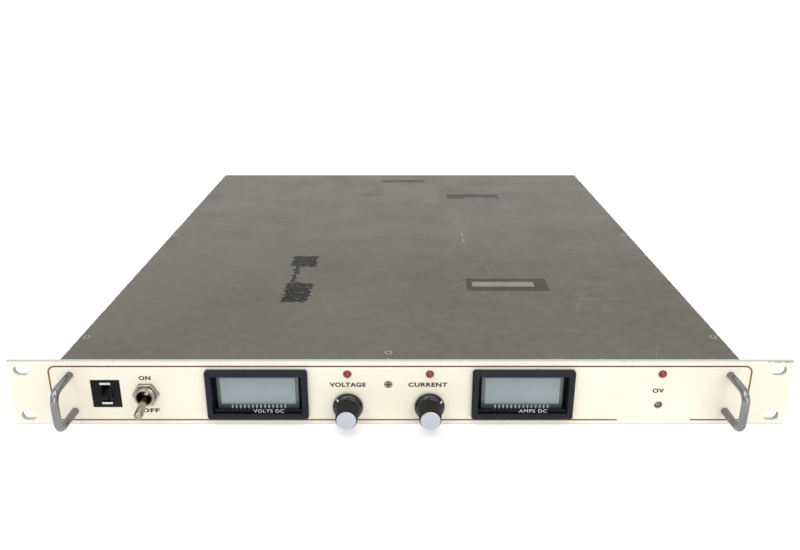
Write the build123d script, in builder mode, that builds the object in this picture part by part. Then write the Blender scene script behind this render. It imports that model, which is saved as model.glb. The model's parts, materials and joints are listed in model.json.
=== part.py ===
from build123d import *
from math import atan2, cos, degrees, radians, sin, sqrt
import os

# A bench power supply for a 19 inch rack, one unit high, as separate pieces in millimetres.
# The frame: +Z up, the front panel looks along -Y, and +X is to the right of someone facing it.
# The origin is the middle of the footprint, on the surface that the supply stands on.

# Front panel, to the rack standard for one unit
panel_width = 482.6
panel_height = 43.66
panel_thickness = 3.18
panel_edge_break = 0.3
slot_inset = 8.75
slot_pitch_z = 31.75
slot_length = 9.5
slot_width = 7.1

# Sheet metal chassis behind the panel
ear_width = 31.75
chassis_depth = 457.2
chassis_height = 43.2
sheet = 1.27
bend_radius = 1.9
top_lip = 10.0
side_flange = 13.0
vent_slots = 8
vent_pitch = 11.0
vent_height = 20.0
vent_width = 3.5
vent_start = 62.0

# Clearances, each on one side
thread_clearance = 0.05
fit_clearance = 0.15
running_clearance = 0.05
moving_clearance = 0.3

# Pull handles, bent from round rod
handle_rod = 4.76
handle_reach = 25.4
handle_span = 25.4
handle_bend = 6.5
handle_inset = 6.35
handle_sides = 16

# Countersunk screws in the cover and in the middle of the panel
screw_head_radius = 2.75
screw_head_height = 1.2
screw_head_sides = 12
screw_head_rim = 0.15
cover_screw_inset = 4.5
cover_screw_front = 31.0
cover_screw_rear = 16.2
centre_screw_back = 9.7
panel_screw_z = 27.9
bracket_width = 16.0
bracket_reach = 12.5

# Circuit breaker, with its face in its window flush with the panel
breaker_z = 21.5
breaker_window_width = 18.2
breaker_window_height = 19.3
breaker_width = 25.0
breaker_height = 27.6
breaker_depth = 46.0
breaker_pocket_width = 4.6
breaker_pocket_height = 12.0
breaker_pocket_depth = 8.0
breaker_guard_thickness = 1.7
breaker_guard_length = 9.0
breaker_guard_height = 1.4
breaker_hub_radius = 2.4
breaker_handle_thickness = 3.0
breaker_handle_length = 6.6
breaker_pivot_depth = 4.0
breaker_tilt = 20.0
breaker_face_proud = 0.2

# Power toggle switch
toggle_pitch = 25.0
toggle_z = 21.4
toggle_tilt = 15.0
bushing_radius = 5.95
bushing_proud = 5.5
bushing_bore_radius = 4.6
toggle_nut_flats = 14.3
toggle_nut_thickness = 2.5
toggle_nut_edge = 0.4
toggle_body_width = 17.5
toggle_body_height = 30.0
toggle_body_depth = 20.0
toggle_lug_length = 8.0
toggle_lug_width = 5.0
toggle_pivot_depth = 1.1
lever_hub_radius = 4.0
lever_hub_height = 1.1
lever_neck_radius = 1.9
lever_tip_radius = 2.8
lever_tip_edge = 1.2
lever_length = 20.8
lever_sides = 16

# Panel meters
meter_names = ("voltage", "current")
meter_z = 21.6
window_width = 55.5
window_height = 26.0
bezel_jamb = 3.75
bezel_sill = 4.2
bezel_brow = 3.8
bezel_proud = 3.5
bezel_corner = 1.2
bezel_edge = 0.7
sleeve_wall = 1.4
sleeve_reach = 6.0
barb_height = 1.0
barb_length = 3.5
barb_width = 8.0
lcd_side_gap = 2.35
lcd_end_gap = 0.7
lcd_thickness = 2.2
lcd_depth = 1.8
lcd_pin_pitch = 2.54
lcd_pin_count = 14
lcd_pin_width = 0.8
lcd_pin_height = 2.9
lcd_pin_thickness = 0.25
legend_height = 3.0
legend_depth = 1.5
legend_thickness = 1.0
board_thickness = 1.6
holder_thickness = 1.5

# Indicator lamps
led_z = 35.2
led_radius = 2.5
led_proud = 2.0
led_dome = 1.1
led_sides = 16
led_back = 1.0
led_leg_pitch = 2.54
led_leg = 0.5

# Skirted control knobs on potentiometers
knob_z = 12.9
knob_gap = 1.0
knob_height = 15.6
skirt_radius = 9.5
skirt_height = 2.8
skirt_edge = 0.6
skirt_sides = 40
grip_radius = 7.6
grip_taper = 3.5
grip_flutes = 30
grip_flute = 0.7
cap_radius = 6.0
cap_thickness = 0.6
knob_bore_depth = 11.6
shaft_radius = 3.175
shaft_reach = 12.2
shaft_seat_depth = 8.0
pot_bushing_radius = 4.75
pot_bushing_proud = 0.7
neck_sides = 16
pot_size = 16.0
pot_depth = 13.0

# Screwdriver adjustment for the overvoltage trip
trimmer_z = 13.4
trimmer_hole_radius = 2.6
trimmer_width = 9.6
trimmer_depth = 9.0
trimmer_shaft_radius = 1.6
trimmer_shaft_recess = 1.2
trimmer_socket_depth = 3.0
trimmer_slot_width = 0.6
trimmer_slot_depth = 0.8

# Circuit boards
control_board_reach = 15.0
control_board_margin = 1.7
main_board_side_gap = 14.28
main_board_start = 55.0
main_board_rear_gap = 32.2
standoff_height = 6.35
standoff_size = 6.0
standoff_inset = 8.0

# Power parts on the main board
transformer_width = 55.0
transformer_length = 50.0
choke_width = 48.0
choke_length = 44.0
core_thickness = 20.0
core_leg = 8.5
winding_overhang = 4.0
heatsink_length = 130.0
heatsink_wall = 4.0
heatsink_height = 26.0
heatsink_fins = 6
heatsink_fin_length = 20.0
heatsink_fin_thickness = 1.6
transistor_width = 15.9
transistor_height = 20.8
transistor_thickness = 5.0
transistors_each = 4
capacitor_radius = 12.5
capacitor_sides = 20
capacitor_length = 46.0
capacitor_count = 2
capacitor_pitch = 30.0
filter_width = 45.0
filter_length = 70.0
filter_height = 25.0

# Exhaust fans
fan_size = 40.0
fan_gap = 4.0
fan_depth = 20.0
fan_duct_radius = 18.6
fan_sides = 24
fan_support_radius = 9.0
fan_support_thickness = 2.0
fan_struts = 3
fan_strut_width = 2.4
rotor_radius = 18.0
rotor_hub_radius = 9.5
rotor_depth = 14.0
rotor_blades = 7
blade_angle = 50.0
blade_thickness = 0.9
grille_slots = 6
grille_pitch = 5.8
grille_slot_width = 3.6
grille_radius = 17.5

# Rear connections
bus_pitch = 40.0
bus_thickness = 3.2
bus_height = 19.0
bus_reach = 22.0
bus_hole_radius = 4.2
bus_hole_back = 12.0
bus_inside = 58.0
bus_foot = 14.0
bus_corner = 3.5
bus_window_width = 50.0
bus_window_height = 22.0
insulator_width = 68.0
insulator_height = 32.0
insulator_thickness = 5.0
insulator_edge = 1.0
rear_z = 21.6
sense_poles = 8
sense_pitch = 5.08
sense_height = 10.0
sense_depth = 7.5
sense_entry = 3.0
sense_entry_depth = 5.0
line_poles = 3
line_pitch = 11.0
line_height = 16.0
line_base = 8.0
line_barrier = 1.2
line_barrier_rise = 4.5
terminal_screw_radius = 3.4
terminal_screw_height = 1.8
terminal_slot_width = 0.9
ground_stud_radius = 2.4
ground_stud_length = 10.8
ground_foot_flats = 8.0
ground_foot_thickness = 3.2

# Places worked out from the sizes above: columns and rows keep their share of the chassis
chassis_width = panel_width - 2 * ear_width
slot_pitch_x = panel_width - 2 * slot_inset
handle_x = chassis_width / 2 - handle_inset
breaker_x = -0.4347 * chassis_width
toggle_x = breaker_x + toggle_pitch
meter_xs = (-0.2109 * chassis_width, 0.1816 * chassis_width)
knob_xs = (-0.0773 * chassis_width, 0.0439 * chassis_width)
centre_screw_x = -0.0172 * chassis_width
trimmer_x = 0.3844 * chassis_width
led_xs = (*knob_xs, 0.3851 * chassis_width)
control_board_left = knob_xs[0] - control_board_reach
control_board_right = trimmer_x + control_board_reach
main_board_width = chassis_width - 2 * sheet - 2 * main_board_side_gap
main_board_length = chassis_depth - main_board_start - main_board_rear_gap
transformer_x = -0.0477 * chassis_width
transformer_start = 0.328 * chassis_depth
choke_x = 0.286 * chassis_width
choke_start = 0.656 * chassis_depth
heatsink_xs = (0.131 * chassis_width, 0.3937 * chassis_width)
heatsink_start = 0.24 * chassis_depth
capacitor_x = -0.358 * chassis_width
capacitor_start = 0.46 * chassis_depth
filter_x = -0.3937 * chassis_width
filter_start = 0.72 * chassis_depth
cover_screw_pitch = (chassis_depth - cover_screw_front - cover_screw_rear) / 2
left_fan_x = -0.2052 * chassis_width
fan_xs = (left_fan_x, left_fan_x + fan_size + fan_gap)
bus_x = 0.3221 * chassis_width
bus_xs = (bus_x - bus_pitch / 2, bus_x + bus_pitch / 2)
sense_x = 0.0954 * chassis_width
line_x = -0.3937 * chassis_width
ground_x = -0.2983 * chassis_width
tray_height = chassis_height - sheet
tray_length = chassis_depth - sheet
overall_depth = handle_reach + panel_thickness + chassis_depth + bus_reach
face_y = handle_reach - overall_depth / 2
panel_back_y = face_y + panel_thickness
rear_y = panel_back_y + chassis_depth
rear_inside_y = rear_y - sheet
control_board_y = panel_back_y + pot_depth
main_board_z = sheet + standoff_height
board_top_z = main_board_z + board_thickness
bezel_width = window_width + 2 * bezel_jamb
bezel_height = bezel_sill + window_height + bezel_brow
lcd_width = window_width - 2 * lcd_side_gap
lcd_height = window_height - 2 * lcd_end_gap
window_z = meter_z - bezel_height / 2 + bezel_sill + window_height / 2
sleeve_width = window_width + 2 * sleeve_wall
sleeve_height = window_height + 2 * sleeve_wall


def facing(y, x=0.0, z=0.0):
    # A plane across the depth that looks out of the front, with its local y up
    return Plane(origin=(x, y, z), x_dir=(1, 0, 0), z_dir=(0, -1, 0))


def backing(y, x=0.0, z=0.0):
    # The same plane, looking out of the rear
    return Plane(origin=(x, y, z), x_dir=(-1, 0, 0), z_dir=(0, 1, 0))


def slab(x, y, z, width, depth, height, mode=Mode.ADD):
    # A block centred on x that starts at depth y and height z
    with Locations((x, y, z)):
        Box(width, depth, height, align=(Align.CENTER, Align.MIN, Align.MIN), mode=mode)


def side_faces(piece, plane):
    # The faces that stand square on a plane
    return [face for face in piece.faces() if abs(face.normal_at().dot(plane.z_dir)) < 0.1]


def save(piece, name):
    piece.part.label = name
    export_step(piece.part, f"parts/{name}.step")


def countersunk_head(gap=0.0):
    # A countersunk head with its wide end at the origin and its narrow end below
    with BuildPart() as head:
        with BuildSketch():
            RegularPolygon(screw_head_radius + gap, screw_head_sides)
        extrude(amount=-screw_head_height)
        chamfer(head.faces().sort_by(Axis.Z)[0].edges(), screw_head_height - screw_head_rim)
    return head.part


def make_front_panel():
    sink = countersunk_head(thread_clearance)
    head = countersunk_head()
    with BuildPart() as front_panel:
        with BuildSketch(facing(face_y, 0, panel_height / 2)):
            Rectangle(panel_width, panel_height)
        extrude(amount=-panel_thickness)
        chamfer(front_panel.faces().sort_by(Axis.Y)[0].edges(), panel_edge_break)
        with BuildSketch(facing(face_y)):
            with Locations((0, panel_height / 2)):
                with GridLocations(slot_pitch_x, slot_pitch_z, 2, 2):
                    SlotOverall(slot_length, slot_width)
            with Locations((breaker_x, breaker_z)):
                Rectangle(breaker_window_width, breaker_window_height)
            with Locations(*[(x, window_z) for x in meter_xs]):
                Rectangle(sleeve_width + 2 * fit_clearance, sleeve_height + 2 * fit_clearance)
            with Locations((toggle_x, toggle_z)):
                Circle(bushing_radius + fit_clearance)
            with Locations(*[(x, led_z) for x in led_xs]):
                RegularPolygon(led_radius + fit_clearance, led_sides)
            with Locations(*[(x, knob_z) for x in knob_xs]):
                Circle(pot_bushing_radius + fit_clearance)
            with Locations((trimmer_x, trimmer_z)):
                Circle(trimmer_hole_radius)
        extrude(amount=-panel_thickness, mode=Mode.SUBTRACT)
        with Locations(facing(face_y, centre_screw_x, panel_screw_z)):
            add(sink, mode=Mode.SUBTRACT)
    save(front_panel, "front_panel")
    with BuildPart() as panel_screw:
        with Locations(facing(face_y, centre_screw_x, panel_screw_z)):
            add(head)
    save(panel_screw, "panel_screw")


def make_handles():
    # Each handle is one rod with two bends, and its feet stand on the panel
    low = (panel_height - handle_span) / 2
    high = (panel_height + handle_span) / 2
    bar_y = face_y - handle_reach + handle_rod / 2
    with BuildPart() as handle:
        with BuildLine(Plane.YZ):
            FilletPolyline(
                (face_y, low), (bar_y, low), (bar_y, high), (face_y, high), radius=handle_bend
            )
        with BuildSketch(facing(face_y, 0, low)):
            RegularPolygon(handle_rod / 2, handle_sides)
        sweep()
    with BuildPart() as handles:
        with Locations((-handle_x, 0, 0), (handle_x, 0, 0)):
            add(handle.part)
    save(handles, "handles")


def make_panel_bracket():
    # A folded bracket that ties the middle of the panel to the cover and the floor
    with BuildPart() as panel_bracket:
        slab(centre_screw_x, panel_back_y, sheet, bracket_width, bracket_reach, tray_height - sheet)
        slab(
            centre_screw_x, panel_back_y + sheet, 2 * sheet,
            bracket_width, bracket_reach, tray_height - 3 * sheet, mode=Mode.SUBTRACT,
        )
    save(panel_bracket, "panel_bracket")


def make_chassis_tray():
    # One sheet folded up at the sides and in at the top, with a flange at each corner
    flange_width = side_flange - sheet / 2
    flange_x = (chassis_width - side_flange - sheet / 2) / 2
    with BuildPart() as chassis_tray:
        with BuildSketch(facing(panel_back_y)) as section:
            with Locations((0, tray_height / 2)):
                Rectangle(chassis_width, tray_height)
            fillet(section.vertices().group_by(Axis.Z)[0], bend_radius)
            with Locations((0, tray_height / 2)):
                Rectangle(
                    chassis_width - 2 * sheet, tray_height - 2 * sheet, mode=Mode.SUBTRACT
                )
                Rectangle(
                    chassis_width - 2 * top_lip, tray_height,
                    align=(Align.CENTER, Align.MIN), mode=Mode.SUBTRACT,
                )
        extrude(amount=-tray_length)
        for side in (-1, 1):
            for y in (panel_back_y, rear_inside_y - sheet):
                slab(
                    side * flange_x, y, sheet / 2, flange_width, sheet, tray_height - sheet,
                )
        vent_middle = vent_start + (vent_slots - 1) * vent_pitch / 2
        with BuildSketch(Plane.YZ):
            with Locations((panel_back_y + vent_middle, tray_height / 2)):
                with GridLocations(vent_pitch, 0, vent_slots, 1):
                    Rectangle(vent_width, vent_height)
        extrude(amount=chassis_width, both=True, mode=Mode.SUBTRACT)
    save(chassis_tray, "chassis_tray")


def cover_screw_places():
    rows = [panel_back_y + cover_screw_front + n * cover_screw_pitch for n in range(3)]
    side_x = chassis_width / 2 - cover_screw_inset
    places = [(side * side_x, y, chassis_height) for side in (-1, 1) for y in rows]
    places.append((centre_screw_x, panel_back_y + centre_screw_back, chassis_height))
    return places


def make_top_cover():
    sink = countersunk_head(thread_clearance)
    head = countersunk_head()
    with BuildPart() as top_cover:
        slab(0, panel_back_y, tray_height, chassis_width, chassis_depth, sheet)
        with Locations(*cover_screw_places()):
            add(sink, mode=Mode.SUBTRACT)
    save(top_cover, "top_cover")
    with BuildPart() as cover_screws:
        with Locations(*cover_screw_places()):
            add(head)
    save(cover_screws, "cover_screws")


def make_breaker():
    # A moulded case whose face fills the window, with a pocket for the handle and a rounded
    # guard on each side of it
    front_y = face_y - breaker_face_proud
    pivot_y = front_y + breaker_pivot_depth
    guard_x = breaker_x + breaker_pocket_width / 2
    half_guard = breaker_guard_length / 2
    face_width = breaker_window_width - 2 * fit_clearance
    face_height = breaker_window_height - 2 * fit_clearance
    with BuildPart() as breaker_body:
        slab(
            breaker_x, panel_back_y, breaker_z - breaker_height / 2,
            breaker_width, breaker_depth, breaker_height,
        )
        slab(
            breaker_x, front_y, breaker_z - face_height / 2,
            face_width, panel_back_y - front_y, face_height,
        )
        with BuildSketch(Plane.YZ.offset(guard_x)):
            with BuildLine():
                ThreePointArc(
                    (front_y, breaker_z - half_guard),
                    (front_y - breaker_guard_height, breaker_z),
                    (front_y, breaker_z + half_guard),
                )
                Line((front_y, breaker_z + half_guard), (front_y, breaker_z - half_guard))
            make_face()
        guard = extrude(amount=breaker_guard_thickness)
        mirror(guard, about=Plane.YZ.offset(breaker_x))
        slab(
            breaker_x, front_y, breaker_z - breaker_pocket_height / 2,
            breaker_pocket_width, breaker_pocket_depth, breaker_pocket_height, mode=Mode.SUBTRACT,
        )
    save(breaker_body, "breaker_body")
    handle_width = breaker_pocket_width - 2 * moving_clearance
    pivot = Plane.YZ.offset(breaker_x - handle_width / 2) * Pos(pivot_y, breaker_z)
    with BuildPart() as breaker_handle:
        with BuildSketch(pivot * Rot(0, 0, breaker_tilt)):
            Circle(breaker_hub_radius)
            Rectangle(
                breaker_handle_length, breaker_handle_thickness, align=(Align.MAX, Align.CENTER)
            )
        extrude(amount=handle_width)
        tip = breaker_handle.faces().filter_by(GeomType.PLANE).sort_by(Axis.Y)[0]
        chamfer(tip.edges(), breaker_handle_thickness / 6)
    save(breaker_handle, "breaker_handle")


def make_toggle():
    bushing_length = bushing_proud + panel_thickness
    with BuildPart() as toggle_body:
        slab(
            toggle_x, panel_back_y, toggle_z - toggle_body_height / 2,
            toggle_body_width, toggle_body_depth, toggle_body_height,
        )
        with BuildSketch(backing(panel_back_y + toggle_body_depth, toggle_x, toggle_z)):
            with GridLocations(toggle_body_width / 2, toggle_body_height / 3, 2, 3):
                Rectangle(sheet, toggle_lug_width)
        extrude(amount=toggle_lug_length)
    save(toggle_body, "toggle_body")
    with BuildPart() as toggle_bushing:
        with BuildSketch(facing(panel_back_y, toggle_x, toggle_z)):
            Circle(bushing_radius)
            Circle(bushing_bore_radius, mode=Mode.SUBTRACT)
        extrude(amount=bushing_length)
    save(toggle_bushing, "toggle_bushing")
    with BuildPart() as toggle_nut:
        with BuildSketch(facing(face_y, toggle_x, toggle_z)):
            RegularPolygon(toggle_nut_flats / 2, 6, major_radius=False)
        extrude(amount=toggle_nut_thickness)
        chamfer(toggle_nut.faces().sort_by(Axis.Y)[0].edges(), toggle_nut_edge)
        with Locations(facing(face_y - toggle_nut_thickness, toggle_x, toggle_z)):
            Hole(bushing_radius + thread_clearance, depth=toggle_nut_thickness)
    save(toggle_nut, "toggle_nut")


def make_toggle_lever():
    # A bat lever that points down at rest, turned about its own leaning axis
    upright = facing(face_y + toggle_pivot_depth, toggle_x, toggle_z)
    pivot = Plane(upright.location * Rot(toggle_tilt, 0, 0))
    widening = degrees(atan2(lever_tip_radius - lever_neck_radius, lever_length))
    with BuildPart() as bat:
        with BuildSketch(pivot):
            RegularPolygon(lever_neck_radius, lever_sides)
        extrude(amount=lever_length)
        draft(side_faces(bat, pivot), pivot, -widening)
        chamfer(bat.faces().sort_by(Axis(pivot.origin, pivot.z_dir))[-1].edges(), lever_tip_edge)
    with BuildPart() as toggle_lever:
        with BuildSketch(pivot.offset(-lever_hub_height)):
            RegularPolygon(lever_hub_radius, lever_sides)
        extrude(amount=2 * lever_hub_height)
        add(bat.part)
    save(toggle_lever, "toggle_lever")


def make_meter(name, x):
    # The bezel's frame lies on the panel and its sleeve snaps through the cut-out
    sleeve_depth = panel_thickness + sleeve_reach
    with BuildPart() as bezel:
        with BuildSketch(facing(face_y, x, meter_z)):
            Rectangle(bezel_width, bezel_height)
        extrude(amount=bezel_proud)
        chamfer(bezel.edges().filter_by(Axis.Y), bezel_corner)
        chamfer(bezel.faces().sort_by(Axis.Y)[0].edges(), bezel_edge)
        with BuildSketch(facing(face_y, x, window_z)):
            Rectangle(sleeve_width, sleeve_height)
        extrude(amount=-sleeve_depth)
        with BuildSketch(Plane.XY.offset(window_z - barb_width / 2)):
            for side in (-1, 1):
                edge = x + side * sleeve_width / 2
                with BuildLine():
                    Polyline(
                        (edge - side * sleeve_wall / 2, panel_back_y + fit_clearance),
                        (edge + side * barb_height, panel_back_y + fit_clearance),
                        (edge, panel_back_y + barb_length),
                        (edge - side * sleeve_wall / 2, panel_back_y + barb_length),
                        close=True,
                    )
                make_face()
        extrude(amount=barb_width)
        with BuildSketch(facing(face_y - bezel_proud, x, window_z)):
            Rectangle(window_width, window_height)
        extrude(amount=-(bezel_proud + sleeve_depth), mode=Mode.SUBTRACT)
    save(bezel, f"{name}_meter_bezel")
    with BuildPart() as lcd:
        slab(x, face_y + lcd_depth, window_z - lcd_height / 2, lcd_width, lcd_thickness, lcd_height)
    save(lcd, f"{name}_meter_lcd")
    with BuildPart() as legend:
        slab(
            x, face_y - bezel_proud + legend_depth, window_z - window_height / 2,
            window_width, legend_thickness, legend_height,
        )
    save(legend, f"{name}_meter_legend")


def make_meter_insides():
    holder_y = face_y + lcd_depth + lcd_thickness
    with BuildPart() as lcd_holders:
        for x in meter_xs:
            slab(
                x, holder_y, window_z - window_height / 2,
                window_width, holder_thickness, window_height,
            )
    save(lcd_holders, "lcd_holders")
    with BuildPart() as meter_boards:
        for x in meter_xs:
            slab(
                x, holder_y + holder_thickness, window_z - lcd_height / 2,
                lcd_width, board_thickness, lcd_height,
            )
    save(meter_boards, "meter_boards")
    with BuildPart() as lcd_pins:
        for x in meter_xs:
            with Locations((x, face_y + lcd_depth, window_z - lcd_height / 2)):
                with GridLocations(lcd_pin_pitch, 0, lcd_pin_count, 1):
                    Box(
                        lcd_pin_width, lcd_pin_thickness, lcd_pin_height,
                        align=(Align.CENTER, Align.MAX, Align.MIN),
                    )
    save(lcd_pins, "lcd_pins")


def make_leds():
    # Round lenses, each on two legs from the control board
    with BuildPart() as indicator_leds:
        for x in led_xs:
            with BuildSketch(facing(panel_back_y + led_back, x, led_z)):
                RegularPolygon(led_radius, led_sides)
            extrude(amount=led_back + panel_thickness + led_proud)
            chamfer(indicator_leds.faces().sort_by(Axis.Y)[0].edges(), led_dome)
            legs_y = panel_back_y + led_back / 2
            for side in (-1, 1):
                slab(
                    x + side * led_leg_pitch / 2, legs_y, led_z - led_leg / 2,
                    led_leg, control_board_y - legs_y, led_leg,
                )
    save(indicator_leds, "indicator_leds")


def make_knob(name, x):
    # A skirted knob in one moulding: a round skirt, and a grip whose flutes follow its taper
    base_y = face_y - knob_gap
    grip_plane = facing(base_y - skirt_height, x, knob_z)
    with BuildPart() as grip:
        with BuildSketch(grip_plane):
            RegularPolygon(grip_radius, grip_flutes)
        extrude(amount=knob_height - skirt_height)
        draft(side_faces(grip, grip_plane), grip_plane, grip_taper)
        with Locations(grip_plane):
            with PolarLocations(grip_radius, grip_flutes):
                Box(
                    grip_flute, grip_flute, 3 * knob_height,
                    rotation=(0, -grip_taper, 45), mode=Mode.SUBTRACT,
                )
    with BuildPart() as knob:
        with BuildSketch(facing(base_y, x, knob_z)):
            RegularPolygon(skirt_radius, skirt_sides)
        extrude(amount=skirt_height)
        chamfer(knob.faces().sort_by(Axis.Y)[0].edges(), skirt_edge)
        add(grip.part)
        with Locations(backing(base_y, x, knob_z)):
            Hole(shaft_radius + thread_clearance, depth=knob_bore_depth)
    save(knob, f"{name}_knob")
    with BuildPart() as cap:
        with BuildSketch(facing(base_y - knob_height, x, knob_z)):
            Circle(cap_radius)
        extrude(amount=cap_thickness)
    save(cap, f"{name}_knob_cap")
    with BuildPart() as shaft:
        with BuildSketch(facing(face_y + shaft_seat_depth, x, knob_z)):
            Circle(shaft_radius)
        extrude(amount=shaft_reach + shaft_seat_depth)
    save(shaft, f"{name}_pot_shaft")


def make_potentiometers():
    # Square bodies behind the panel, each with a threaded neck that its shaft turns in
    neck_length = panel_thickness + pot_bushing_proud
    with BuildPart() as potentiometers:
        for x in knob_xs:
            slab(
                x, panel_back_y, knob_z - pot_size / 2, pot_size, pot_depth, pot_size,
            )
            with BuildSketch(facing(panel_back_y, x, knob_z)):
                RegularPolygon(pot_bushing_radius, neck_sides)
            extrude(amount=neck_length)
            with Locations(facing(panel_back_y - neck_length, x, knob_z)):
                Hole(
                    shaft_radius + running_clearance,
                    depth=pot_bushing_proud + shaft_seat_depth + moving_clearance,
                )
    save(potentiometers, "potentiometers")


def make_trimmer():
    # The trimmer stands on the control board and its slotted shaft ends inside the panel's hole
    body_y = control_board_y - trimmer_depth
    tip_y = face_y + trimmer_shaft_recess
    with BuildPart() as trimmer_body:
        slab(
            trimmer_x, body_y, trimmer_z - trimmer_width / 2,
            trimmer_width, trimmer_depth, trimmer_width,
        )
        with Locations(facing(body_y, trimmer_x, trimmer_z)):
            Hole(trimmer_shaft_radius + running_clearance, depth=trimmer_socket_depth)
    save(trimmer_body, "trimmer_body")
    shaft_end_y = body_y + trimmer_socket_depth - moving_clearance
    with BuildPart() as trimmer_shaft:
        with BuildSketch(facing(shaft_end_y, trimmer_x, trimmer_z)):
            Circle(trimmer_shaft_radius)
        extrude(amount=shaft_end_y - tip_y)
        with BuildSketch(facing(tip_y, trimmer_x, trimmer_z)):
            Rectangle(trimmer_slot_width, 2 * trimmer_shaft_radius)
        extrude(amount=-trimmer_slot_depth, mode=Mode.SUBTRACT)
    save(trimmer_shaft, "trimmer_shaft")


def make_boards():
    control_width = control_board_right - control_board_left
    with BuildPart() as control_board:
        slab(
            control_board_left + control_width / 2, control_board_y,
            sheet + control_board_margin,
            control_width, board_thickness, tray_height - sheet - 2 * control_board_margin,
        )
    save(control_board, "control_board")
    with BuildPart() as main_board:
        slab(
            0, panel_back_y + main_board_start, main_board_z,
            main_board_width, main_board_length, board_thickness,
        )
    save(main_board, "main_board")
    middle_y = panel_back_y + main_board_start + main_board_length / 2
    with BuildPart() as board_standoffs:
        with BuildSketch(Plane.XY.offset(sheet)):
            with Locations((0, middle_y)):
                with GridLocations(
                    main_board_width / 2 - standoff_inset,
                    main_board_length - 2 * standoff_inset, 3, 2,
                ):
                    RegularPolygon(standoff_size / 2, 6, major_radius=False)
        extrude(amount=standoff_height)
    save(board_standoffs, "board_standoffs")


def wound_parts():
    # The transformer and the output choke, each as its middle x, start depth, width and length
    return (
        (transformer_x, panel_back_y + transformer_start, transformer_width, transformer_length),
        (choke_x, panel_back_y + choke_start, choke_width, choke_length),
    )


def make_wound_parts():
    # Flat double-E cores: two windows beside a centre leg that carries the winding
    core_z = board_top_z + winding_overhang
    with BuildPart() as ferrite_cores:
        for x, y, width, length in wound_parts():
            slab(x, y, core_z, width, length, core_thickness)
            window = (width - 4 * core_leg) / 2
            for side in (-1, 1):
                slab(
                    x + side * (core_leg + window / 2), y + core_leg, core_z,
                    window, length - 2 * core_leg, core_thickness, mode=Mode.SUBTRACT,
                )
    save(ferrite_cores, "ferrite_cores")
    with BuildPart() as windings:
        for x, y, width, length in wound_parts():
            window = (width - 4 * core_leg) / 2
            outer = 2 * (core_leg + window) - 2 * fit_clearance
            height = core_thickness + 2 * winding_overhang
            start = y + core_leg + fit_clearance
            depth = length - 2 * core_leg - 2 * fit_clearance
            slab(x, start, board_top_z, outer, depth, height)
            slab(
                x, start, core_z - fit_clearance, 2 * (core_leg + fit_clearance), depth,
                core_thickness + 2 * fit_clearance, mode=Mode.SUBTRACT,
            )
    save(windings, "windings")


def make_heatsinks():
    # Comb extrusions that stand on the board, with the transistors on the flat side
    fin_pitch = (heatsink_height - heatsink_fin_thickness) / (heatsink_fins - 1)
    fin_root = heatsink_wall / 4
    start_y = panel_back_y + heatsink_start
    with BuildPart() as heatsinks:
        for x in heatsink_xs:
            slab(x, start_y, board_top_z, heatsink_wall, heatsink_length, heatsink_height)
            for fin in range(heatsink_fins):
                slab(
                    x + fin_root + heatsink_fin_length / 2, start_y,
                    board_top_z + fin * fin_pitch,
                    heatsink_fin_length, heatsink_length, heatsink_fin_thickness,
                )
    save(heatsinks, "heatsinks")
    step = heatsink_length / transistors_each
    with BuildPart() as power_transistors:
        for x in heatsink_xs:
            for n in range(transistors_each):
                slab(
                    x - (heatsink_wall + transistor_thickness) / 2,
                    start_y + (n + 0.5) * step - transistor_width / 2, board_top_z,
                    transistor_thickness, transistor_width, transistor_height,
                )
    save(power_transistors, "power_transistors")


def make_input_parts():
    start_y = panel_back_y + capacitor_start
    with BuildPart() as bulk_capacitors:
        with BuildSketch(facing(start_y, capacitor_x, board_top_z + capacitor_radius)):
            with GridLocations(capacitor_pitch, 0, capacitor_count, 1):
                RegularPolygon(capacitor_radius, capacitor_sides)
        extrude(amount=-capacitor_length)
    save(bulk_capacitors, "bulk_capacitors")
    with BuildPart() as line_filter:
        slab(
            filter_x, panel_back_y + filter_start, board_top_z,
            filter_width, filter_length, filter_height,
        )
    save(line_filter, "line_filter")


def make_rear_panel():
    # Rows of slots stand before each fan, and one window lets both bus bars out
    with BuildPart() as rear_panel:
        slab(0, rear_inside_y, 0, chassis_width, sheet, tray_height)
        with BuildSketch(facing(rear_inside_y, 0, rear_z)):
            for x in fan_xs:
                for n in range(grille_slots):
                    rise = (n - (grille_slots - 1) / 2) * grille_pitch
                    with Locations((x, rise)):
                        Rectangle(2 * sqrt(grille_radius**2 - rise**2), grille_slot_width)
            with Locations((sum(bus_xs) / 2, 0)):
                Rectangle(bus_window_width, bus_window_height)
        extrude(amount=-sheet, mode=Mode.SUBTRACT)
    save(rear_panel, "rear_panel")


def make_line_terminals():
    # A moulded barrier strip, one slotted screw for each pole
    length = line_poles * line_pitch + line_barrier
    floor_z = rear_z - line_height / 2
    with BuildPart() as line_terminal_block:
        slab(line_x, rear_y, floor_z, length, line_base, line_height)
        for n in range(line_poles + 1):
            slab(
                line_x + (n - line_poles / 2) * line_pitch, rear_y, floor_z,
                line_barrier, line_base + line_barrier_rise, line_height,
            )
    save(line_terminal_block, "line_terminal_block")
    head_plane = backing(rear_y + line_base, line_x, rear_z)
    with BuildPart() as line_terminal_screws:
        with BuildSketch(head_plane):
            with GridLocations(line_pitch, 0, line_poles, 1):
                RegularPolygon(terminal_screw_radius, screw_head_sides)
        extrude(amount=terminal_screw_height)
        with BuildSketch(head_plane.offset(terminal_screw_height)):
            with GridLocations(line_pitch, 0, line_poles, 1):
                Rectangle(terminal_slot_width, 2 * terminal_screw_radius)
        extrude(amount=-terminal_screw_height / 2, mode=Mode.SUBTRACT)
    save(line_terminal_screws, "line_terminal_screws")


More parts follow.
